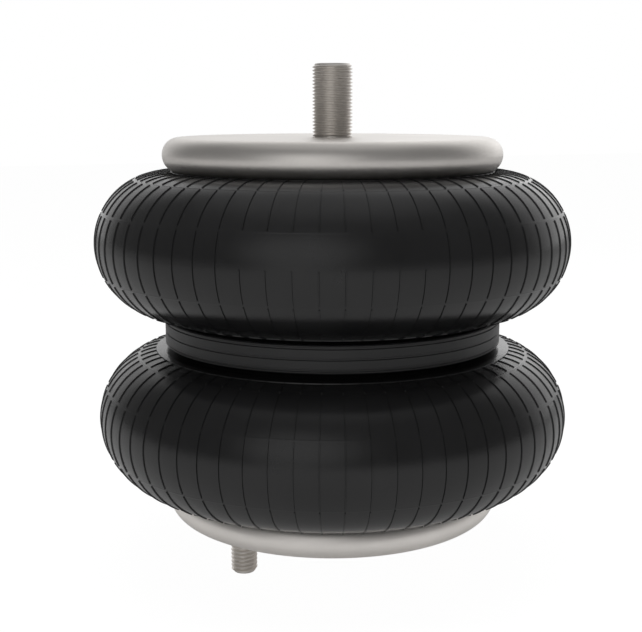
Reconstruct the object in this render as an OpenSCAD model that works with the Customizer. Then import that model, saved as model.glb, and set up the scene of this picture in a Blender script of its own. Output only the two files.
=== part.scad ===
// Air bellows actuator: two rubber convolutions with a girdle between them,
// sealed into rolled steel bead plates. The upper plate carries a hollow centre
// stud that is also the air inlet, the lower plate carries two mounting studs.
// Millimetres, +Z along the axis, origin at the middle of the lower mounting face.

/* [Bellows] */
// Distance between the two mounting faces at rest
height = 182.2; // [179:0.2:186]
// Largest diameter of the convolutions
bellows_d = 226.8; // [224:0.1:230]
// Rise of a convolution's crest above the lowest point of the rubber under the rim
shoulder = 1.3; // [1:0.1:1.6]
// Number of upright ribs round a convolution
ribs = 66; // [60:2:72]
// Height of the ribs above the panels between them
rib_h = 0.45; // [0.35:0.05:0.6]
// Width of a rib at the equator
rib_w = 0.5; // [0.4:0.1:0.8]
// Thickness of the outer rubber cover
cover_t = 1.8; // [1.5:0.1:2]
// Thickness of each cord ply
ply_t = 1; // [0.8:0.1:1.1]
// Thickness of the inner rubber liner
liner_t = 1; // [0.8:0.1:1.1]

/* [Girdle] */
// Height of the girdle belt
girdle_h = 12.6; // [11.6:0.1:13.2]
// Thickness of the girdle belt
belt_t = 5.8; // [5.4:0.1:6.6]
// Height of the straight wall inside the girdle
throat_h = 7.2; // [6.6:0.1:7.8]
// Radius of the wall's turn into the girdle
neck_r = 4.9; // [4.5:0.1:5.3]
// Depth of the three grooves round the belt
belt_groove = 0.8; // [0.5:0.1:1]
// Height of the lip at each edge of the belt
belt_lip = 1.5; // [1.2:0.1:1.8]

/* [Bead plates] */
// Reach of the plate's rim past the middle of the convolution's round section
rim_out = 0.9; // [0.4:0.1:1.4]
// Thickness of the plate's sheet
sheet_t = 3; // [2.6:0.1:3.2]
// Outer radius of the bend between the mounting face and the rim
bend_r = 7.9; // [7.5:0.1:8.4]
// Outer radius of the curl that clamps the bead
curl_r = 8.4; // [8:0.1:8.8]

/* [Studs] */
// Major diameter of the centre stud's thread
combo_d = 19.05; // [18:0.05:20]
// Length of the centre stud above the mounting face
combo_len = 34.2; // [30:0.1:40]
// Bore of the threaded air inlet
port_d = 11.1; // [10:0.1:11.5]
// Depth of the threaded air inlet
port_depth = 15; // [12:0.5:18]
// Major diameter of the mounting studs' thread
stud_d = 12.7; // [12:0.05:14]
// Length of the mounting studs below the mounting face
stud_len = 28; // [24:0.5:36]
// Distance between the mounting studs
stud_spacing = 95.25; // [90:0.25:100]

/* [Reinforcement] */
// Diameter of the steel wire in the beads and the girdle
wire_d = 1.6; // [1.4:0.1:1.7]

/* [Hidden] */
$fn = 96;

// Clearances
bond_gap = 0.1;
seat_gap = 0.4;
belt_gap = 0.3;
hole_gap = 0.2;
neck_gap = 0.05;

// Offsets of the layers inward from the bellows' outer surface
cover_in = cover_t;
outer_ply_out = cover_in + bond_gap;
outer_ply_in = outer_ply_out + ply_t;
inner_ply_out = outer_ply_in + bond_gap;
inner_ply_in = inner_ply_out + ply_t;
liner_out = inner_ply_in + bond_gap;
liner_in = liner_out + liner_t;

// The convolution in the half section, [radius, height above the girdle's middle]: its round
// section spans from the crest, just above the rubber under the rim, to its turn into the girdle
half_h = height / 2;
rim_side = 0.2;
curl_h = half_h - bend_r - rim_side;
under_r = curl_r + seat_gap;
crest_h = curl_h - under_r + shoulder;
arc_r = (crest_h - throat_h / 2 - neck_r) / 2;
equator_h = crest_h - arc_r;
arc_x = bellows_d / 2 - arc_r;
arc_centre = [arc_x, equator_h];
throat_r = arc_x - neck_r;
neck = [arc_x, throat_h / 2];

// The plate's rim: its curl, its rolled edge, and the rubber that passes under it
plate_r = arc_x + rim_out;
curl = [plate_r - curl_r, curl_h];
bend = [plate_r - bend_r, half_h - bend_r];
lip = [curl[0], curl[1] - curl_r + sheet_t / 2];
wrap_r = sheet_t / 2 + seat_gap;
bead_x = lip[0] - wrap_r;
bead_top = half_h - sheet_t - seat_gap;

// Ribs: first and last angle on the convolution's section, depth of the root, and width as a turn
rib_first = -80;
rib_last = 90;
rib_root = 0.4;
rib_turn = 2 * asin(rib_w / bellows_d);

// Bare pad on the front of the upper convolution: direction, half width, and top on the section
pad_at = -114.5;
pad_half = 24;
pad_top = 27.4;

// The girdle belt
belt_r_in = throat_r + belt_gap;
belt_r_out = belt_r_in + belt_t;

// Wound wire: turns across, turns up, and the pitch that joins neighbouring turns
wire_pitch = 0.92 * wire_d;
bead_turns = [3, 4];
girdle_turns = [2, 5];
bead_r_out = plate_r - sheet_t - seat_gap;
bead_foot = lip[1] + sheet_t / 2 + seat_gap;
bead_wire_at = [(bead_x + bead_r_out) / 2 - 2 * bond_gap, (bead_foot + bead_top) / 2];
girdle_wire_at = [(belt_r_in + belt_r_out - belt_groove) / 2, 0];

// Stud heads inside the plates
combo_head_d = 1.75 * combo_d;
combo_head_t = 5;
passage_d = 7;
stud_head_d = 1.8 * stud_d;
stud_head_t = 4;
stud_chamfer = 1.4;
relief = 0.6;

steel = [0.83, 0.82, 0.8];
stud_steel = [0.55, 0.54, 0.53];
wire_steel = [0.5, 0.46, 0.4];
black_rubber = [0.1, 0.1, 0.1];
soft_rubber = [0.16, 0.15, 0.15];
cord_ply = [0.35, 0.3, 0.24];

// A sector of a ring, from angle a0 to angle a1, no wider than a half turn
module ring_sector(centre, r_in, r_out, a0, a1) {
    reach = 3 * r_out;
    mid = (a0 + a1) / 2;
    translate(centre) intersection() {
        difference() {
            circle(r = r_out);
            circle(r = r_in);
        }
        polygon([[0, 0], reach * [cos(a0), sin(a0)], 1.6 * reach * [cos(mid), sin(mid)],
                 reach * [cos(a1), sin(a1)]]);
    }
}

// A rectangle in the half section, from one corner to the opposite one
module strip(from, to) {
    translate(from) square([to[0] - from[0], to[1] - from[1]]);
}

// Inside of a convolution's section, with its shoulder pressed in by the curl
module pressed_arc(offset_in) {
    difference() {
        translate(arc_centre) circle(r = arc_r - offset_in);
        translate(curl) circle(r = under_r + offset_in);
    }
}

// One layer of the wall between two offsets inward from the outer surface
module layer_profile(out, in) {
    strip([throat_r - in, neck_gap], [throat_r - out, neck[1]]);
    ring_sector(neck, neck_r + out, neck_r + in, 90, 180);
    intersection() {
        difference() {
            pressed_arc(out);
            pressed_arc(in);
        }
        union() {
            strip([arc_x, 0], [bellows_d, half_h]);
            strip([curl[0], equator_h], [bellows_d, half_h]);
        }
    }
    ring_sector(lip, wrap_r + out, wrap_r + in, 180, 270);
    strip([bead_x - in, lip[1]], [bead_x - out, bead_top]);
}

// The outer layer, thinner where the panels between the ribs lie
module cover_profile() {
    difference() {
        layer_profile(0, cover_in);
        ring_sector(arc_centre, arc_r - rib_h, arc_r + rib_h, rib_first, rib_last);
    }
}

// One rib's section, left out where the pad is
module rib_profile(padded) {
    difference() {
        ring_sector(arc_centre, arc_r - rib_h - rib_root, arc_r, rib_first + 1, rib_last - 1);
        if (padded) ring_sector(arc_centre, 0, 2 * arc_r, 0, pad_top);
    }
}

function on_pad(turn) = abs((turn - pad_at + 540) % 360 - 180) < pad_half;

// Upright ribs round a convolution
module cover_ribs(has_pad) {
    for (k = [0 : ribs - 1]) {
        turn = (k + 0.5) * 360 / ribs;
        rotate(turn - rib_turn / 2) rotate_extrude(angle = rib_turn) rib_profile(has_pad && on_pad(turn));
    }
}

module convolution_cover(has_pad) {
    rotate_extrude() cover_profile();
    cover_ribs(has_pad);
}

// Cross-section of a wire hoop wound from turns that touch, with bonded rubber between them
module wire_profile(at, turns, gap) {
    reach = wire_pitch * (turns - [1, 1]) / 2;
    for (i = [0 : turns[0] - 1], j = [0 : turns[1] - 1])
        translate(at - reach + wire_pitch * [i, j]) circle(d = wire_d + 2 * gap, $fn = 48);
    strip(at - reach, at + reach);
}

// Rubber bead that fills the curl, with room for its wire
module bead_profile() {
    difference() {
        union() {
            intersection() {
                ring_sector(curl, 0, curl_r - sheet_t - seat_gap, 270, 360);
                strip([bead_x + bond_gap, 0], [bellows_d, half_h]);
            }
            strip([bead_x + bond_gap, bead_foot], [curl[0], bead_top]);
            strip([bead_x + bond_gap, curl[1]], [bend[0], bead_top]);
            ring_sector([bend[0], curl[1]], 0, bead_top - curl[1], 0, 90);
        }
        wire_profile(bead_wire_at, bead_turns, bond_gap);
    }
}

// Sheet of a bead plate: flat face, bend, short side, curl and rounded edge
module plate_profile() {
    strip([0, half_h - sheet_t], [bend[0], half_h]);
    ring_sector(bend, bend_r - sheet_t, bend_r, 0, 90);
    strip([plate_r - sheet_t, curl[1]], [plate_r, bend[1]]);
    ring_sector(curl, curl_r - sheet_t, curl_r, 270, 360);
    ring_sector(lip, 0, sheet_t / 2, 90, 270);
}

// Belt between the convolutions: round inside, three grooves outside
module belt_profile() {
    corner = neck_r - belt_gap;
    half = girdle_h / 2;
    groove_at = half - belt_lip;
    difference() {
        union() {
            strip([arc_x, -half], [belt_r_out, half]);
            strip([belt_r_in, -neck[1]], [arc_x, neck[1]]);
            intersection() {
                union() {
                    translate(neck) circle(r = corner);
                    translate([neck[0], -neck[1]]) circle(r = corner);
                }
                strip([0, -half], [arc_x, half]);
            }
        }
        for (z = [-groove_at, 0, groove_at])
            translate([belt_r_out, z]) rotate(45) square(sqrt(2) * belt_groove, center = true);
        wire_profile(girdle_wire_at, girdle_turns, bond_gap);
    }
}

// Places a half section's revolved solid on the upper or on the lower side
module upper_side() {
    translate([0, 0, half_h]) children();
}

module lower_side() {
    translate([0, 0, half_h]) mirror([0, 0, 1]) children();
}

module revolve_layer(out, in) {
    rotate_extrude() layer_profile(out, in);
}

module stud_places() {
    for (side = [-1, 1])
        translate([side * stud_spacing / 2, 0, 0]) children();
}

module lower_bead_plate() {
    color(steel) difference() {
        lower_side() rotate_extrude() plate_profile();
        stud_places() cylinder(d = stud_d + 2 * hole_gap, h = 4 * sheet_t, center = true);
    }
}

module upper_bead_plate() {
    color(steel) difference() {
        upper_side() rotate_extrude() plate_profile();
        translate([0, 0, height - 2 * sheet_t]) cylinder(d = combo_d + 2 * hole_gap, h = 4 * sheet_t);
    }
}

// Mounting stud: round head welded inside the lower plate, relieved shank, thread, chamfered tip
module mounting_stud(side) {
    thread_len = stud_len - stud_chamfer;
    color(stud_steel) translate([side * stud_spacing / 2, 0, 0]) {
        translate([0, 0, sheet_t]) cylinder(d = stud_head_d, h = stud_head_t);
        cylinder(d = stud_d - 2 * relief, h = sheet_t);
        translate([0, 0, -thread_len]) cylinder(d = stud_d, h = thread_len);
        translate([0, 0, -stud_len])
            cylinder(d1 = stud_d - 2 * stud_chamfer, d2 = stud_d, h = stud_chamfer);
    }
}

module lower_stud_left() {
    mounting_stud(-1);
}

module lower_stud_right() {
    mounting_stud(1);
}

// Hollow centre stud: head inside, relieved shank, thread, air passage, threaded inlet in the top
module combo_stud() {
    top = height + combo_len;
    base = height - sheet_t;
    thread_len = combo_len - stud_chamfer;
    color(stud_steel) difference() {
        union() {
            translate([0, 0, base - combo_head_t]) cylinder(d = combo_head_d, h = combo_head_t);
            translate([0, 0, base]) cylinder(d = combo_d - 2 * relief, h = sheet_t);
            translate([0, 0, height]) cylinder(d = combo_d, h = thread_len);
            translate([0, 0, height + thread_len])
                cylinder(d1 = combo_d, d2 = combo_d - 2 * stud_chamfer, h = stud_chamfer);
        }
        translate([0, 0, base - 2 * combo_head_t]) cylinder(d = passage_d, h = combo_len + 3 * combo_head_t);
        translate([0, 0, top - port_depth]) cylinder(d = port_d, h = 2 * port_depth);
    }
}

module lower_bead() {
    color(black_rubber) lower_side() rotate_extrude() bead_profile();
}

module upper_bead() {
    color(black_rubber) upper_side() rotate_extrude() bead_profile();
}

module lower_bead_wire() {
    color(wire_steel) lower_side() rotate_extrude() wire_profile(bead_wire_at, bead_turns, 0);
}

module upper_bead_wire() {
    color(wire_steel) upper_side() rotate_extrude() wire_profile(bead_wire_at, bead_turns, 0);
}

module lower_cover() {
    color(black_rubber) lower_side() convolution_cover(false);
}

module lower_outer_ply() {
    color(cord_ply) lower_side() revolve_layer(outer_ply_out, outer_ply_in);
}

module lower_inner_ply() {
    color(cord_ply) lower_side() revolve_layer(inner_ply_out, inner_ply_in);
}

module lower_liner() {
    color(soft_rubber) lower_side() revolve_layer(liner_out, liner_in);
}

module upper_cover() {
    color(black_rubber) upper_side() convolution_cover(true);
}

module upper_outer_ply() {
    color(cord_ply) upper_side() revolve_layer(outer_ply_out, outer_ply_in);
}

module upper_inner_ply() {
    color(cord_ply) upper_side() revolve_layer(inner_ply_out, inner_ply_in);
}

module upper_liner() {
    color(soft_rubber) upper_side() revolve_layer(liner_out, liner_in);
}

module girdle_belt() {
    color(black_rubber) upper_side() rotate_extrude() belt_profile();
}

module girdle_wire() {
    color(wire_steel) upper_side() rotate_extrude() wire_profile(girdle_wire_at, girdle_turns, 0);
}

lower_bead_plate();
lower_stud_left();
lower_stud_right();
lower_bead();
lower_bead_wire();
lower_cover();
lower_outer_ply();
lower_inner_ply();
lower_liner();
girdle_belt();
girdle_wire();
upper_cover();
upper_outer_ply();
upper_inner_ply();
upper_liner();
upper_bead();
upper_bead_wire();
upper_bead_plate();
combo_stud();
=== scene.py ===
"""Looks of an air bellows actuator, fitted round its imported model.

Sizes are written in millimetres and meshes are made in metres, with +Z along the axis.
"""
import bpy
import math
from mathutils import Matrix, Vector
from mathutils.geometry import tessellate_polygon

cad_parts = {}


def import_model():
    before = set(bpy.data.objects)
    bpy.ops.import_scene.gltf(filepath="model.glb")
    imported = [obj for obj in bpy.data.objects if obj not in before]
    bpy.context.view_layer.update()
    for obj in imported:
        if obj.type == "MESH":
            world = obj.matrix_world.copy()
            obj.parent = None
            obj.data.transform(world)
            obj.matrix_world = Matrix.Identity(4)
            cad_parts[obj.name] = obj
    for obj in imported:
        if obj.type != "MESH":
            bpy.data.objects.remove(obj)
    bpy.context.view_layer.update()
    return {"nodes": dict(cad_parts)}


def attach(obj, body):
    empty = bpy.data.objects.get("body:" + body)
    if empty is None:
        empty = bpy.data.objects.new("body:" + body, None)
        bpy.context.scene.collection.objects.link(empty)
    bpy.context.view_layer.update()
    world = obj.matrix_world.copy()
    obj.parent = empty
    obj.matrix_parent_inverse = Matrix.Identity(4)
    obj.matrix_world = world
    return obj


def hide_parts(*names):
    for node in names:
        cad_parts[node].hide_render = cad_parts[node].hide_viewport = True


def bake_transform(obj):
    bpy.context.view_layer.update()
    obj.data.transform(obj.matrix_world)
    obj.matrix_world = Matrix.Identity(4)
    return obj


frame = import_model()

MM = 0.001
TAU = 2 * math.pi
INCH = 25.4

# Bellows, with heights from the lower mounting face
HEIGHT = 182.2           # between the mounting faces
MID = HEIGHT / 2         # the girdle's middle plane
BELLOWS_R = 113.4        # at a convolution's widest place
EQUATOR_H = 42.0         # from the middle plane to that place
ARC_R = 33.5             # a convolution's round section
ARC_X = BELLOWS_R - ARC_R
THROAT_R = 75.0          # outside of the wall, under the girdle
COVER_T = 1.8            # thickness of the outer rubber
SPLIT_GAP = 0.05         # from the middle plane to each half's end
OUTER_STEPS = 64         # rows round the section, outside
INNER_STEPS = 32         # and inside
NECK_STEPS = 8
SEAT_STEPS = 6

# Bead plates
RIM_OUT = 0.9            # from the round section's middle to the rim's side
PLATE_R = ARC_X + RIM_OUT
SHEET_T = 3.0
BEND_R = 7.9             # the bend from the flat into the rim
CURL_R = 8.4             # the roll under the bend
RIM_SIDE = 0.2           # the straight stretch between them
FLAT_EDGE = 2.0          # level stretch turned with the rim
SEAT_GAP = 0.4           # between the steel and the rubber
TOUCH_GAP = 0.1          # the same under the curl, for the cover's outside
HOLE_GAP = 0.2           # round a stud
PLATE_COLUMNS = 288
HOLE_COLUMNS = 72
BEND_STEPS = 14
CURL_STEPS = 16
LIP_STEPS = 10
INNER_CURL_STEPS = 12
INNER_BEND_STEPS = 10

# Girdle belt
GIRDLE_R = 81.1
GIRDLE_H = 12.6
BELT_GAP = 0.3           # between the belt and the throat
BELT_EDGE = 0.5          # chamfer
GROOVE_IN = 1.5          # from the belt's edges to the outer grooves
GROOVE_DEEP = 0.48
GROOVE_HALF = 0.56       # half of a groove's width
GROOVE_FLOOR = 0.28      # half of its floor's width
BELT_COLUMNS = 288
BELT_STEPS = 6

# Studs: a 3/4-16 centre stud with a 1/4-18 inlet, and two 1/2-13 studs below
COMBO_R = 9.525
COMBO_LEN = 34.2         # above the upper mounting face
COMBO_PITCH = INCH / 16
COMBO_HEAD_R = 16.67
COMBO_HEAD_T = 5.0
COMBO_COLUMNS = 72
PASSAGE_R = 3.5
PORT_R = 5.55            # crest of the inlet's thread
PORT_DEPTH = 15.0
PORT_PITCH = INCH / 18
PORT_RELIEF = 0.35       # plain ends of the inlet's thread, past its crest
PORT_CHAMFER = 0.9       # at the inlet's mouth
PORT_RUNOUT = 1.5        # from the inlet's end to its thread
PORT_STEP = 0.3          # slope at the thread's inner end
PORT_CONE = 0.8          # slope at the inlet's end
STUD_R = 6.35
STUD_LEN = 28.0          # below the lower mounting face
STUD_PITCH = INCH / 13
STUD_HEAD_R = 11.43
STUD_HEAD_T = 4.0
STUD_X = 95.25 / 2       # from the axis to each stud
STUD_COLUMNS = 60
STUD_CHAMFER = 1.4       # at the tips
TIP_BREAK = 0.25         # the unthreaded last bit of a tip
HEAD_CHAMFER = 0.5
RELIEF = 0.6             # undercut where a stud passes its plate
THREAD_DEPTH = 0.6134    # share of the pitch
PORT_THREAD_DEPTH = 0.55
THREAD_END = 0.01        # heights this near to a mounting face are at the thread's end

# One pitch of a thread: share of the pitch, and share of the depth below the crest
THREAD = (
    (0.0, 0.0), (0.125, 0.0), (0.28, 0.5),
    (0.4375, 1.0), (0.5625, 1.06), (0.6875, 1.0), (0.84, 0.5),
)

# Relief moulded into the rubber: upright ribs, broken at raised lines, and a bare pad in front.
# Angles in degrees are round the axis, or on a convolution's section from its widest place.
RIBS = 66
RIB_DEG = 360 / RIBS
RIB_H = 0.45
RIB_TOP_DEG = 0.1        # half of a rib's top
RIB_FOOT_DEG = 0.16      # half of its foot
RIB_BREAK = 0.7          # from a line to the ribs' ends
RIB_RAMP = 0.2           # slope at a rib's end
RIB_FIRST = -80.0        # where the ribs start, on the section
RIB_LAST = 95.0          # and where they end
PANEL_STEP_DEG = 1.35    # extra columns in the panels between ribs
LINE_HEIGHTS = (15.1, 30.3)
LINE_HALF = 0.35         # half of a line's foot
LINE_TOP = LINE_HALF / 3
LINE_RISE = 0.05
PAD_HALF_DEG = 24.0
RIB_SHARP_DEG = 24.0     # edges over this stay sharp on the covers
SHARP_DEG = 30.0         # and on the other pieces

# Finish: noise scales are per metre, bump distances in metres
NOISE_LOW = 0.3          # most of a noise lies between these
NOISE_HIGH = 0.7
RUBBER_CLOUD = {"scale": 38, "detail": 5, "roughness": 0.6}
RUBBER_GRAIN = {"scale": 1900, "detail": 3, "roughness": 0.7}
RUBBER_BUMP = {"strength": 0.25, "distance": 0.00012}
STEEL_CLOUD = {"scale": 24, "detail": 6, "roughness": 0.6}
STEEL_GRAIN = {"detail": 2, "roughness": 0.6}
STEEL_BUMP = {"strength": 0.06, "distance": 0.00005}

# Bodies
LOWER = "lower_end"
GIRDLE = "girdle"
UPPER = "upper_end"

# Camera, fitted to the photograph's outline
VIEW_DEG = -24.545       # its turn about the axis
CAMERA_REACH = 560.5     # from the axis
CAMERA_UP = 196.99
CAMERA_PITCH = 0.1808    # downwards, in radians
CAMERA_NEAR = 0.01       # metres
SENSOR_W = 36.0
FOCAL_PX = 1162.1
PHOTO_W = 642
PHOTO_H = 632
AIM_PX = (332.49, 317.76)  # the pixel that it points at

# Floor and room
FLOOR_HALF = 4.0         # metres
FLOOR_GAP = 0.1          # under the studs' tips
FLOOR_TONE = (0.6, 0.6, 0.6, 1)
FLOOR_SEEN = 0.93        # share of glow that the camera sees
FLOOR_MIRRORED = 0.22    # and that mirrors and glass see
FLOOR_GLOW = 1.05
BACKDROP_TURN = 170      # middle of the room's white side, from the camera's side
BACKDROP_EDGE = 0.36     # cosines where the white side fades out
BACKDROP_FULL = 0.88     # and where it is full
ROOM_LEVEL = 0.16        # on the other side

# Lamps: place round the axis, turned from the camera's side; size in metres; power in watts
LAMPS = {
    "top_light": {"reach": 150, "up": 1300, "turn": 180, "size": (2.2, 2.2), "power": 4.4},
    "front_light": {"reach": 1000, "up": 420, "turn": -15, "size": (1.5, 1.4), "power": 3.8},
    "back_light": {"reach": 1300, "up": 480, "turn": 160, "size": (1.6, 0.6), "power": 2.0},
    "fill_light": {
        "reach": 300, "up": 1300, "turn": 0, "size": (2.0, 2.0), "power": 44.0, "glossy": False},
}
LAMP_MIDDLE = (0.5, 0.5, 0.0)
LAMP_EDGE = 0.5          # share of a lamp's size, from its middle to where it is dark
LAMP_CORE = 0.1          # and to where it starts to fade


# Mesh helpers

def new_piece(name, verts, faces, sharp_deg=SHARP_DEG):
    """A mesh object from points in millimetres, smooth but for edges over sharp_deg."""
    mesh = bpy.data.meshes.new(name)
    mesh.from_pydata([(x * MM, y * MM, z * MM) for x, y, z in verts], [], faces)
    mesh.validate()
    mesh.polygons.foreach_set("use_smooth", [True] * len(mesh.polygons))
    mesh.set_sharp_from_angle(angle=math.radians(sharp_deg))
    mesh.update()
    piece = bpy.data.objects.new(name, mesh)
    bpy.context.scene.collection.objects.link(piece)
    return piece


def merged(verts, faces, tolerance=1e-4):
    """Points that coincide become one, and faces that collapse go."""
    seen = {}
    kept = []
    where = []
    for v in verts:
        key = tuple(round(c / tolerance) for c in v)
        if key not in seen:
            seen[key] = len(kept)
            kept.append(v)
        where.append(seen[key])
    clean = []
    for face in faces:
        corners = []
        for i in face:
            if where[i] not in corners:
                corners.append(where[i])
        if len(corners) > 2:
            clean.append(corners)
    return kept, clean


def joined(parts):
    """One mesh from several, each given as points and faces."""
    verts = []
    faces = []
    for part_verts, part_faces in parts:
        start = len(verts)
        verts += part_verts
        faces += [tuple(i + start for i in face) for face in part_faces]
    return merged(verts, faces)


def flipped(faces):
    """Faces that look the other way."""
    return [face[::-1] for face in faces]


def shifted(verts, x):
    """Points moved along X."""
    return [(x + px, py, pz) for px, py, pz in verts]


def turned(r, z, a):
    """The point at a radius and a height, turned about the axis by an angle in radians."""
    return (r * math.cos(a), r * math.sin(a), z)


def ring(r, z, columns):
    """Points of a level circle about the axis."""
    return [turned(r, z, TAU * i / columns) for i in range(columns)]


def cap(r, z, columns, up):
    """A level round face, looking up or down."""
    face = tuple(range(columns))
    return ring(r, z, columns), [face if up else face[::-1]]


def tube_faces(rows, columns, closed):
    """Faces between rows of points round the axis; closed joins the last row to the first."""
    faces = []
    for j in range(rows if closed else rows - 1):
        k = (j + 1) % rows
        for i in range(columns):
            n = (i + 1) % columns
            faces.append((j * columns + i, j * columns + n, k * columns + n, k * columns + i))
    return faces


def lathe(profile, columns, closed=False):
    """Points and faces of a profile [r, z] turned about the axis."""
    verts = []
    for r, z in profile:
        verts += ring(r, z, columns)
    return verts, tube_faces(len(profile), columns, closed)


def arc(centre, radius, a0, a1, steps):
    """Points [r, z] on an arc, angles in degrees."""
    points = []
    for i in range(steps + 1):
        a = math.radians(a0 + (a1 - a0) * i / steps)
        points.append((centre[0] + radius * math.cos(a), centre[1] + radius * math.sin(a)))
    return points


def angle_at(centre, point):
    """Direction from a centre to a point, in degrees."""
    return math.degrees(math.atan2(point[1] - centre[1], point[0] - centre[0]))


def share_between(value, zero, one):
    """Share from 0 at zero to 1 at one, held past both."""
    return min(1.0, max(0.0, (value - zero) / (one - zero)))


def placed(verts, faces, upper):
    """A half section's points on the upper side, or mirrored on the lower side."""
    if upper:
        return [(x, y, MID + z) for x, y, z in verts], faces
    return [(x, y, MID - z) for x, y, z in verts], flipped(faces)


# The bellows' half section: [radius, height above the middle plane]

BEND = (PLATE_R - BEND_R, MID - BEND_R)
CURL = (PLATE_R - CURL_R, MID - BEND_R - RIM_SIDE)
LIP_R = SHEET_T / 2
LIP = (CURL[0], CURL[1] - CURL_R + LIP_R)
ARC = (ARC_X, EQUATOR_H)
NECK_R = ARC_X - THROAT_R
NECK = (ARC_X, EQUATOR_H - ARC_R - NECK_R)
BEAD_TOP = MID - SHEET_T - SEAT_GAP
DEG_PER_MM = math.degrees(1 / ARC_R)


def seat_gap(inset):
    """Gap between the steel and a surface of the wall: the outer one all but touches."""
    return SEAT_GAP if inset else TOUCH_GAP


def press_point(inset):
    """Where the arc of the convolution meets the arc pressed in by the curl."""
    ra = ARC_R - inset
    rb = CURL_R + seat_gap(inset) + inset
    dx = CURL[0] - ARC[0]
    dz = CURL[1] - ARC[1]
    d = math.hypot(dx, dz)
    a = (d * d + ra * ra - rb * rb) / (2 * d)
    h = math.sqrt(ra * ra - a * a)
    return (ARC[0] + (a * dx + h * dz) / d, ARC[1] + (a * dz - h * dx) / d)


def line_angle(height):
    """Angle on the section at a height above the convolution's widest place."""
    return math.degrees(math.asin(height / ARC_R))


def line_angles():
    """Angles of the raised lines on a convolution's section."""
    return [side * line_angle(height) for height in LINE_HEIGHTS for side in (-1, 1)]


def section_angles(inset, lines):
    """Row angles round a convolution's section, with rows at the edges of the relief."""
    last = angle_at(ARC, press_point(inset))
    steps = OUTER_STEPS if lines else INNER_STEPS
    rows = [-90 + (last + 90) * i / steps for i in range(steps + 1)]
    if not lines:
        return rows
    ramp = RIB_RAMP * DEG_PER_MM
    clear = RIB_BREAK * DEG_PER_MM + 2 * ramp
    offsets = (LINE_TOP, LINE_HALF, RIB_BREAK, RIB_BREAK + RIB_RAMP)
    for line in lines:
        rows = [a for a in rows if abs(a - line) > clear]
        rows += [line + side * offset * DEG_PER_MM for offset in offsets for side in (-1, 1)]
    rows = [a for a in rows if min(abs(a - RIB_FIRST), abs(a - RIB_LAST)) > DEG_PER_MM]
    rows += [RIB_FIRST, RIB_FIRST + ramp, RIB_LAST - ramp, RIB_LAST]
    pad_foot = -ramp
    return sorted(rows + [pad_foot])


def wall_rows(inset, lines=()):
    """Rows of the wall from girdle to bead: each point, and its angle if it is on the round section."""
    throat = [(THROAT_R - inset, SPLIT_GAP), (THROAT_R - inset, NECK[1] / 2)]
    throat += arc(NECK, NECK_R + inset, 180, 90, NECK_STEPS)[:-1]
    rows = [(point, None) for point in throat]
    r = ARC_R - inset
    for a in section_angles(inset, lines):
        t = math.radians(a)
        rows.append(((ARC[0] + r * math.cos(t), ARC[1] + r * math.sin(t)), a))
    gap = seat_gap(inset) + inset
    seat = arc(CURL, CURL_R + gap, angle_at(CURL, press_point(inset)), -90, SEAT_STEPS)[1:]
    seat += arc(LIP, LIP_R + gap, -90, -180, SEAT_STEPS)[1:]
    bead_r = LIP[0] - LIP_R - SEAT_GAP - inset
    seat += [(bead_r, (LIP[1] + BEAD_TOP) / 2), (bead_r, BEAD_TOP)]
    return rows + [(point, None) for point in seat]


def rib_columns():
    """Angles round the axis, each with the share of the rib's height there and the rib's own angle."""
    middle = RIB_DEG / 2
    spots = (
        (0.0, 0), (PANEL_STEP_DEG, 0),
        (middle - RIB_FOOT_DEG, 0), (middle - RIB_TOP_DEG, 1),
        (middle + RIB_TOP_DEG, 1), (middle + RIB_FOOT_DEG, 0),
        (RIB_DEG - PANEL_STEP_DEG, 0),
    )
    columns = []
    for k in range(RIBS):
        start = k * RIB_DEG
        columns += [(start + at, share, start + middle) for at, share in spots]
    return columns


def off_view(angle):
    """Degrees round the axis from the side that the camera sees."""
    return abs((angle - (VIEW_DEG - 90) + 180) % 360 - 180)


def on_pad(a, rib):
    """Whether a place on the upper cover lies on its bare pad, by its section angle and its rib."""
    return a is not None and 0 <= a < line_angle(LINE_HEIGHTS[0]) and off_view(rib) < PAD_HALF_DEG


def relief(a, lines):
    """Depth of the panels, rise of the raised lines on them and share of the ribs' height."""
    if a is None or a <= RIB_FIRST or a >= RIB_LAST:
        return 0.0, 0.0, 0.0
    near = min(abs(a - line) for line in lines) / DEG_PER_MM
    rise = LINE_RISE * share_between(near, LINE_HALF, LINE_TOP)
    return RIB_H, rise, share_between(near, RIB_BREAK, RIB_BREAK + RIB_RAMP)


def cover(name, upper):
    """One convolution's outer rubber, a closed shell with ribs, raised lines and the upper one's pad."""
    lines = line_angles()
    columns = rib_columns()
    verts = []
    for (r, z), a in wall_rows(0.0, lines):
        depth, rise, share = relief(a, lines)
        t = math.radians(a or 0.0)
        for at, height, rib in columns:
            bare = upper and on_pad(a, rib)
            sink = depth - (rise if bare else max(rise, height * share * depth))
            verts.append(turned(r - math.cos(t) * sink, z - math.sin(t) * sink, math.radians(at)))
    for (r, z), _ in reversed(wall_rows(COVER_T)):
        verts += [turned(r, z, math.radians(at)) for at, _, _ in columns]
    faces = tube_faces(len(verts) // len(columns), len(columns), closed=True)
    verts, faces = placed(verts, faces, upper)
    return new_piece(name, verts, faces, RIB_SHARP_DEG)


def layer_copy(node):
    """A copy of one inner layer of the wall."""
    piece = bpy.data.objects.new(node + "_layer", frame["nodes"][node].data.copy())
    bpy.context.scene.collection.objects.link(piece)
    return piece


# Studs

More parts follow.
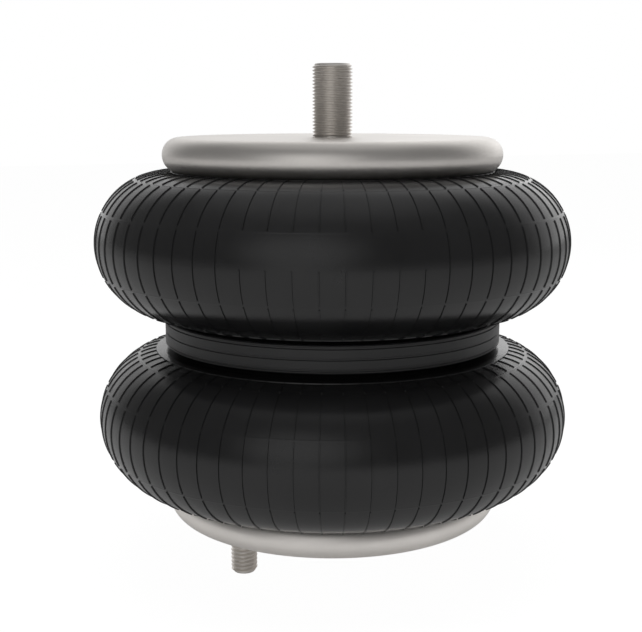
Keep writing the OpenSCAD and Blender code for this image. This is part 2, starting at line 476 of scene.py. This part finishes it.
def thread_rows(radius, pitch, depth, z0, z1, columns, limit):
    """Points and faces of a helical thread between two heights.

    limit(z) gives the radius at both ends and caps an outer thread. A bore's depth is negative.
    """
    per_turn = len(THREAD)
    turns = math.ceil((z1 - z0) / pitch) + 2
    rows = turns * per_turn + 1
    verts = []
    for j in range(rows):
        along, below = THREAD[j % per_turn]
        rise = (j // per_turn) * pitch + along * pitch
        cut_r = radius - below * depth
        for i in range(columns):
            z = min(z1, max(z0, z0 - pitch + rise + pitch * i / columns))
            if z in (z0, z1):
                r = limit(z)
            else:
                r = min(limit(z), cut_r) if depth > 0 else cut_r
            verts.append(turned(r, z, TAU * i / columns))
    faces = []
    for j in range(rows - 1):
        first = j * columns
        last = first + columns - 1
        for i in range(first, last):
            faces.append((i, i + 1, i + 1 + columns, i + columns))
        next_turn = (j + per_turn) * columns
        if j + per_turn + 1 < rows:
            faces.append((last, next_turn, next_turn + columns, last + columns))
    return verts, faces


def combo_stud(name):
    """Hollow centre stud with its outer thread, its threaded inlet and its air passage."""
    base = HEIGHT - SHEET_T
    head = base - COMBO_HEAD_T
    top = HEIGHT + COMBO_LEN
    thread_top = top - TIP_BREAK
    depth = THREAD_DEPTH * COMBO_PITCH
    root = COMBO_R - depth
    neck = COMBO_R - RELIEF
    inlet_r = PORT_R + PORT_RELIEF
    inlet_depth = -PORT_THREAD_DEPTH * PORT_PITCH
    mouth = top - PORT_CHAMFER
    port_end = top - PORT_DEPTH
    runout = port_end + PORT_RUNOUT

    def outer_limit(z):
        if z <= HEIGHT + THREAD_END:
            return root
        return min(COMBO_R, COMBO_R - STUD_CHAMFER + (top - z))

    def inlet_limit(z):
        return inlet_r

    crown_r = outer_limit(thread_top)
    below = [
        (PASSAGE_R, head), (COMBO_HEAD_R - HEAD_CHAMFER, head), (COMBO_HEAD_R, head + HEAD_CHAMFER),
        (COMBO_HEAD_R, base), (neck, base), (neck, HEIGHT), (root, HEIGHT),
    ]
    crown = [
        (crown_r, thread_top), (crown_r - TIP_BREAK, top),
        (inlet_r + PORT_CHAMFER, top), (inlet_r, mouth),
    ]
    bottom = [
        (inlet_r, runout), (PORT_R, runout - PORT_STEP), (PORT_R, port_end),
        (PASSAGE_R, port_end - PORT_CONE), (PASSAGE_R, head),
    ]
    inlet_verts, inlet_faces = thread_rows(
        PORT_R, PORT_PITCH, inlet_depth, runout, mouth, COMBO_COLUMNS, inlet_limit)
    verts, faces = joined([
        lathe(below, COMBO_COLUMNS),
        thread_rows(COMBO_R, COMBO_PITCH, depth, HEIGHT, thread_top, COMBO_COLUMNS, outer_limit),
        lathe(crown, COMBO_COLUMNS),
        (inlet_verts, flipped(inlet_faces)),
        lathe(bottom, COMBO_COLUMNS),
    ])
    return new_piece(name, verts, faces)


def mounting_stud(name, x):
    """Lower stud: head inside the plate, thread and chamfered tip."""
    head = SHEET_T + STUD_HEAD_T
    tip = -STUD_LEN
    thread_foot = tip + TIP_BREAK
    depth = THREAD_DEPTH * STUD_PITCH
    root = STUD_R - depth
    neck = STUD_R - RELIEF

    def limit(z):
        if z >= -THREAD_END:
            return root
        return min(STUD_R, STUD_R - STUD_CHAMFER + (z - tip))

    foot_r = limit(thread_foot)
    tip_r = foot_r - TIP_BREAK
    above = [
        (root, 0.0), (neck, 0.0), (neck, SHEET_T), (STUD_HEAD_R, SHEET_T),
        (STUD_HEAD_R, head - HEAD_CHAMFER), (STUD_HEAD_R - HEAD_CHAMFER, head),
    ]
    verts, faces = joined([
        cap(tip_r, tip, STUD_COLUMNS, up=False),
        lathe([(tip_r, tip), (foot_r, thread_foot)], STUD_COLUMNS),
        thread_rows(STUD_R, STUD_PITCH, depth, thread_foot, 0.0, STUD_COLUMNS, limit),
        lathe(above, STUD_COLUMNS),
        cap(STUD_HEAD_R - HEAD_CHAMFER, head, STUD_COLUMNS, up=True),
    ])
    return new_piece(name, shifted(verts, x), faces)


# Plates and belt

def rim_profile():
    """Section of a plate from its flat, round the rim to the rolled edge and back under the flat."""
    flat = BEND[0] - FLAT_EDGE
    points = [(flat, MID)]
    points += arc(BEND, BEND_R, 90, 0, BEND_STEPS)
    points += arc(CURL, CURL_R, 0, -90, CURL_STEPS)
    points += arc(LIP, LIP_R, -90, -270, LIP_STEPS)[1:]
    points += arc(CURL, CURL_R - SHEET_T, -90, 0, INNER_CURL_STEPS)[1:]
    points += arc(BEND, BEND_R - SHEET_T, 0, 90, INNER_BEND_STEPS)
    points += [(flat, MID - SHEET_T)]
    return points


def holed_face(loops, up):
    """A level face inside the first loop, open inside the others."""
    verts = [point for loop in loops for point in loop]
    faces = []
    for a, b, c in tessellate_polygon([[Vector(point) for point in loop] for loop in loops]):
        first = Vector(verts[b]) - Vector(verts[a])
        second = Vector(verts[c]) - Vector(verts[a])
        faces.append((a, b, c) if (first.cross(second).z > 0) == up else (c, b, a))
    return verts, faces


def plate(name, upper):
    """A stamped plate: its rim turned about the axis, and a flat with holes for its studs."""
    if upper:
        holes = [(0.0, COMBO_R + HOLE_GAP)]
    else:
        holes = [(side * STUD_X, STUD_R + HOLE_GAP) for side in (-1, 1)]
    profile = rim_profile()
    verts, faces = lathe(profile, PLATE_COLUMNS)
    parts = [(verts, flipped(faces))]
    for (r, z), up in ((profile[0], True), (profile[-1], False)):
        loops = [ring(r, z, PLATE_COLUMNS)]
        loops += [shifted(ring(hole_r, z, HOLE_COLUMNS), x) for x, hole_r in holes]
        parts.append(holed_face(loops, up))
    for x, hole_r in holes:
        verts, faces = lathe([(hole_r, MID), (hole_r, MID - SHEET_T)], HOLE_COLUMNS)
        parts.append((shifted(verts, x), faces))
    verts, faces = placed(*joined(parts), upper)
    return new_piece(name, verts, faces)


def belt_profile():
    """Closed section of the belt: three grooves outside, and the throat's shape inside."""
    half = GIRDLE_H / 2
    corner = NECK_R - BELT_GAP
    cut = math.degrees(math.asin((half - NECK[1]) / corner))
    points = [(GIRDLE_R - BELT_EDGE, -half), (GIRDLE_R, -half + BELT_EDGE)]
    for z in (-half + GROOVE_IN, 0.0, half - GROOVE_IN):
        points += [
            (GIRDLE_R, z - GROOVE_HALF), (GIRDLE_R - GROOVE_DEEP, z - GROOVE_FLOOR),
            (GIRDLE_R - GROOVE_DEEP, z + GROOVE_FLOOR), (GIRDLE_R, z + GROOVE_HALF),
        ]
    points += [(GIRDLE_R, half - BELT_EDGE), (GIRDLE_R - BELT_EDGE, half)]
    points += arc(NECK, corner, 180 - cut, 180, BELT_STEPS)
    points += [(THROAT_R + BELT_GAP, -NECK[1])]
    points += arc((NECK[0], -NECK[1]), corner, 180, 180 + cut, BELT_STEPS)[1:]
    return points


def belt(name):
    """The girdle's belt, turned about the axis."""
    verts, faces = lathe(belt_profile(), BELT_COLUMNS, closed=True)
    verts, faces = placed(verts, faces, upper=True)
    return new_piece(name, verts, faces)


# Materials

def material(name):
    """A new material, with its nodes, links and main shader."""
    m = bpy.data.materials.new(name)
    m.use_nodes = True
    nodes = m.node_tree.nodes
    return m, nodes, m.node_tree.links, nodes["Principled BSDF"]


def add_noise(nodes, links, scale, detail, roughness):
    """The values of a noise that is fixed to the object."""
    where = nodes.new("ShaderNodeTexCoord")
    noise = nodes.new("ShaderNodeTexNoise")
    noise.inputs["Scale"].default_value = scale
    noise.inputs["Detail"].default_value = detail
    noise.inputs["Roughness"].default_value = roughness
    links.new(where.outputs["Object"], noise.inputs["Vector"])
    return noise.outputs["Fac"]


def spread(nodes, links, noise, low, high):
    """A noise's values, spread between two numbers."""
    ramp = nodes.new("ShaderNodeMapRange")
    ramp.inputs["From Min"].default_value = NOISE_LOW
    ramp.inputs["From Max"].default_value = NOISE_HIGH
    ramp.inputs["To Min"].default_value = low
    ramp.inputs["To Max"].default_value = high
    links.new(noise, ramp.inputs["Value"])
    return ramp.outputs["Result"]


def mix_colour(nodes, links, noise, dark, light):
    """A colour that wanders between two with a noise."""
    mix = nodes.new("ShaderNodeMix")
    mix.data_type = "RGBA"
    mix.inputs["A"].default_value = (*dark, 1)
    mix.inputs["B"].default_value = (*light, 1)
    links.new(spread(nodes, links, noise, 0, 1), mix.inputs["Factor"])
    return mix.outputs["Result"]


def add_bump(nodes, links, shader, height, strength, distance):
    """Fine relief on a shader from a noise."""
    bump = nodes.new("ShaderNodeBump")
    bump.inputs["Strength"].default_value = strength
    bump.inputs["Distance"].default_value = distance
    links.new(height, bump.inputs["Height"])
    links.new(bump.outputs["Normal"], shader.inputs["Normal"])


def rubber(name, dark, light, rough, specular):
    """Moulded rubber: cloudy in colour and gloss, with a fine grain."""
    m, nodes, links, shader = material(name)
    cloud = add_noise(nodes, links, **RUBBER_CLOUD)
    grain = add_noise(nodes, links, **RUBBER_GRAIN)
    links.new(mix_colour(nodes, links, cloud, dark, light), shader.inputs["Base Color"])
    links.new(spread(nodes, links, cloud, *rough), shader.inputs["Roughness"])
    shader.inputs["Specular IOR Level"].default_value = specular
    add_bump(nodes, links, shader, grain, **RUBBER_BUMP)
    return m


def satin_steel(name, dark, light, rough, grain_scale):
    """Satin steel: cloudy in colour, with a grain in its gloss and relief."""
    m, nodes, links, shader = material(name)
    shader.inputs["Metallic"].default_value = 1.0
    cloud = add_noise(nodes, links, **STEEL_CLOUD)
    grain = add_noise(nodes, links, grain_scale, **STEEL_GRAIN)
    links.new(mix_colour(nodes, links, cloud, dark, light), shader.inputs["Base Color"])
    links.new(spread(nodes, links, grain, *rough), shader.inputs["Roughness"])
    add_bump(nodes, links, shader, grain, **STEEL_BUMP)
    return m


COVER_LOOK = rubber(
    "cover_rubber", dark=(0.009, 0.009, 0.0093), light=(0.013, 0.013, 0.0134),
    rough=(0.19, 0.25), specular=0.45)
BELT_LOOK = rubber(
    "belt_rubber", dark=(0.019, 0.019, 0.0195), light=(0.026, 0.026, 0.0265),
    rough=(0.4, 0.52), specular=0.5)
LINER_LOOK = rubber(
    "liner_rubber", dark=(0.016, 0.015, 0.015), light=(0.022, 0.021, 0.021),
    rough=(0.5, 0.62), specular=0.4)
PLY_LOOK = rubber(
    "cord_ply", dark=(0.045, 0.036, 0.026), light=(0.07, 0.058, 0.043),
    rough=(0.65, 0.8), specular=0.3)
PLATE_LOOK = satin_steel(
    "plate_steel", dark=(0.85, 0.815, 0.778), light=(0.93, 0.892, 0.851),
    rough=(0.4, 0.48), grain_scale=900)
STUD_LOOK = satin_steel(
    "stud_steel", dark=(0.8, 0.766, 0.728), light=(0.88, 0.843, 0.802),
    rough=(0.36, 0.46), grain_scale=1500)
WIRE_LOOK = satin_steel(
    "wire_steel", dark=(0.42, 0.32, 0.2), light=(0.5, 0.4, 0.27),
    rough=(0.3, 0.45), grain_scale=1500)


# Pieces and the bodies that they move with

LAYERS = (
    ("_outer_ply", "cord_ply", PLY_LOOK),
    ("_inner_ply", "cord_ply", PLY_LOOK),
    ("_liner", "liner_rubber", LINER_LOOK),
)


def dress(piece, look):
    """Gives a piece one material."""
    piece.data.materials.clear()
    piece.data.materials.append(look)


def stand_in(piece, node, look):
    """Puts a piece in a node's place, with its finish."""
    dress(piece, look)
    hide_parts(node)


def on_axis(height):
    """A point on the axis, in metres."""
    return (0, 0, height * MM)


def blend_half(piece, upper):
    """Bakes a half's placement into its mesh points, the same way for either half."""
    if upper:
        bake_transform(piece)
    else:
        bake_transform(piece)


for side, is_upper in (("lower", False), ("upper", True)):
    skin = cover(side + "_cover_skin", is_upper)
    stand_in(skin, side + "_cover", COVER_LOOK)
    blend_half(skin, is_upper)
    for layer, layer_slot, layer_look in LAYERS:
        copy = layer_copy(side + layer)
        stand_in(copy, side + layer, layer_look)
        blend_half(copy, is_upper)
    shell = plate(side + "_plate_shell", is_upper)
    stand_in(shell, side + "_bead_plate", PLATE_LOOK)
    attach(shell, UPPER if is_upper else LOWER)
    dress(frame["nodes"][side + "_bead"], COVER_LOOK)
    dress(frame["nodes"][side + "_bead_wire"], WIRE_LOOK)

stud = combo_stud("centre_stud")
stand_in(stud, "combo_stud", STUD_LOOK)
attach(stud, UPPER)

for side, direction in (("left", -1), ("right", 1)):
    stud = mounting_stud("mounting_stud_" + side, direction * STUD_X)
    stand_in(stud, "lower_stud_" + side, STUD_LOOK)
    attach(stud, LOWER)

band = belt("girdle_band")
stand_in(band, "girdle_belt", BELT_LOOK)
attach(band, GIRDLE)
dress(frame["nodes"]["girdle_wire"], WIRE_LOOK)


# Floor, light and camera

def view_direction(turn=0.0):
    """The level direction from the axis to the camera, turned about the axis."""
    a = math.radians(VIEW_DEG + turn)
    return Vector((math.sin(a), -math.cos(a), 0))


def view_point(reach, up, turn=0.0):
    """A point in metres at a distance from the axis, turned from the camera's direction."""
    return (view_direction(turn) * reach + Vector((0, 0, up))) * MM


def math_node(nodes, links, operation, *values):
    """A math node's result, fed by sockets or by plain numbers."""
    node = nodes.new("ShaderNodeMath")
    node.operation = operation
    for socket, value in zip(node.inputs, values):
        if isinstance(value, float):
            socket.default_value = value
        else:
            links.new(value, socket)
    return node.outputs["Value"]


def mix_shaders(nodes, links, share, first, second):
    """A blend of two shaders' outputs."""
    mix = nodes.new("ShaderNodeMixShader")
    links.new(share, mix.inputs["Fac"])
    links.new(first, mix.inputs[1])
    links.new(second, mix.inputs[2])
    return mix.outputs["Shader"]


def floor_white():
    """Near white with a faint shadow to the camera, dim in mirrors, and clear when seen from below."""
    m, nodes, links, shader = material("floor_white")
    nodes.remove(shader)
    diffuse = nodes.new("ShaderNodeBsdfDiffuse")
    diffuse.inputs["Color"].default_value = FLOOR_TONE
    glow = nodes.new("ShaderNodeEmission")
    glow.inputs["Strength"].default_value = FLOOR_GLOW
    clear = nodes.new("ShaderNodeBsdfTransparent")
    facing = nodes.new("ShaderNodeNewGeometry").outputs["Backfacing"]
    path = nodes.new("ShaderNodeLightPath").outputs
    mirrored = math_node(nodes, links, "MAXIMUM", path["Is Glossy Ray"], path["Is Transmission Ray"])
    shown = math_node(nodes, links, "MULTIPLY", mirrored, FLOOR_MIRRORED)
    seen = math_node(nodes, links, "MULTIPLY", path["Is Camera Ray"], FLOOR_SEEN)
    glowing = math_node(nodes, links, "MAXIMUM", seen, shown)
    from_below = math_node(nodes, links, "MULTIPLY", facing, path["Is Camera Ray"])
    lit = mix_shaders(nodes, links, glowing, diffuse.outputs["BSDF"], glow.outputs["Emission"])
    surface = mix_shaders(nodes, links, from_below, lit, clear.outputs["BSDF"])
    links.new(surface, nodes["Material Output"].inputs["Surface"])
    return m


def floor():
    """A plain floor under the studs."""
    low = -(STUD_LEN + FLOOR_GAP) * MM
    corners = [(x * FLOOR_HALF, y * FLOOR_HALF, low) for x, y in ((-1, -1), (1, -1), (1, 1), (-1, 1))]
    mesh = bpy.data.meshes.new("floor")
    mesh.from_pydata(corners, [], [(0, 1, 2, 3)])
    plane = bpy.data.objects.new("floor", mesh)
    bpy.context.scene.collection.objects.link(plane)
    plane.data.materials.append(floor_white())


def world():
    """A room that is white behind the object and grey in front of it, and white to the camera."""
    studio = bpy.data.worlds.new("studio")
    bpy.context.scene.world = studio
    studio.use_nodes = True
    nodes = studio.node_tree.nodes
    links = studio.node_tree.links
    background = nodes["Background"]
    background.inputs["Color"].default_value = (1, 1, 1, 1)
    where = nodes.new("ShaderNodeTexCoord")
    dot = nodes.new("ShaderNodeVectorMath")
    dot.operation = "DOT_PRODUCT"
    dot.inputs[1].default_value = view_direction(BACKDROP_TURN)
    links.new(where.outputs["Generated"], dot.inputs[0])
    shade = nodes.new("ShaderNodeMapRange")
    shade.interpolation_type = "SMOOTHSTEP"
    shade.inputs["From Min"].default_value = BACKDROP_EDGE
    shade.inputs["From Max"].default_value = BACKDROP_FULL
    shade.inputs["To Min"].default_value = ROOM_LEVEL
    shade.inputs["To Max"].default_value = 1.0
    links.new(dot.outputs["Value"], shade.inputs["Value"])
    seen = nodes.new("ShaderNodeLightPath").outputs["Is Camera Ray"]
    level = math_node(nodes, links, "MAXIMUM", shade.outputs["Result"], seen)
    links.new(level, background.inputs["Strength"])


def softbox(name, reach, up, turn, size, power, glossy=True):
    """An area lamp aimed at the object, bright in its middle and dark at its edge."""
    lamp = bpy.data.lights.new(name, "AREA")
    lamp.shape = "RECTANGLE"
    lamp.size, lamp.size_y = size
    lamp.energy = power
    lamp.use_nodes = True
    nodes = lamp.node_tree.nodes
    links = lamp.node_tree.links
    where = nodes.new("ShaderNodeNewGeometry")
    distance = nodes.new("ShaderNodeVectorMath")
    distance.operation = "DISTANCE"
    distance.inputs[1].default_value = LAMP_MIDDLE
    links.new(where.outputs["Parametric"], distance.inputs[0])
    fade = nodes.new("ShaderNodeMapRange")
    fade.interpolation_type = "SMOOTHSTEP"
    fade.inputs["From Min"].default_value = LAMP_EDGE
    fade.inputs["From Max"].default_value = LAMP_CORE
    links.new(distance.outputs["Value"], fade.inputs["Value"])
    links.new(fade.outputs["Result"], nodes["Emission"].inputs["Strength"])
    box = bpy.data.objects.new(name, lamp)
    bpy.context.scene.collection.objects.link(box)
    box.location = view_point(reach, up, turn)
    aim = Vector(on_axis(MID)) - box.location
    box.rotation_euler = aim.to_track_quat("-Z", "Y").to_euler()
    box.visible_glossy = glossy


def camera():
    """The photograph's camera, with its lens shifted because it points beside the picture's middle."""
    lens = bpy.data.cameras.new("camera")
    eye = bpy.data.objects.new("camera", lens)
    bpy.context.scene.collection.objects.link(eye)
    lens.sensor_width = SENSOR_W
    lens.lens = FOCAL_PX / PHOTO_W * SENSOR_W
    lens.shift_x = (PHOTO_W / 2 - AIM_PX[0]) / PHOTO_W
    lens.shift_y = (AIM_PX[1] - PHOTO_H / 2) / PHOTO_W
    lens.clip_start = CAMERA_NEAR
    eye.location = view_point(CAMERA_REACH, CAMERA_UP)
    eye.rotation_euler = (math.pi / 2 - CAMERA_PITCH, 0, math.radians(VIEW_DEG))
    bpy.context.scene.camera = eye


floor()
world()
for lamp_name, lamp_facts in LAMPS.items():
    softbox(lamp_name, **lamp_facts)
camera()
bpy.context.scene.view_settings.view_transform = "Standard"
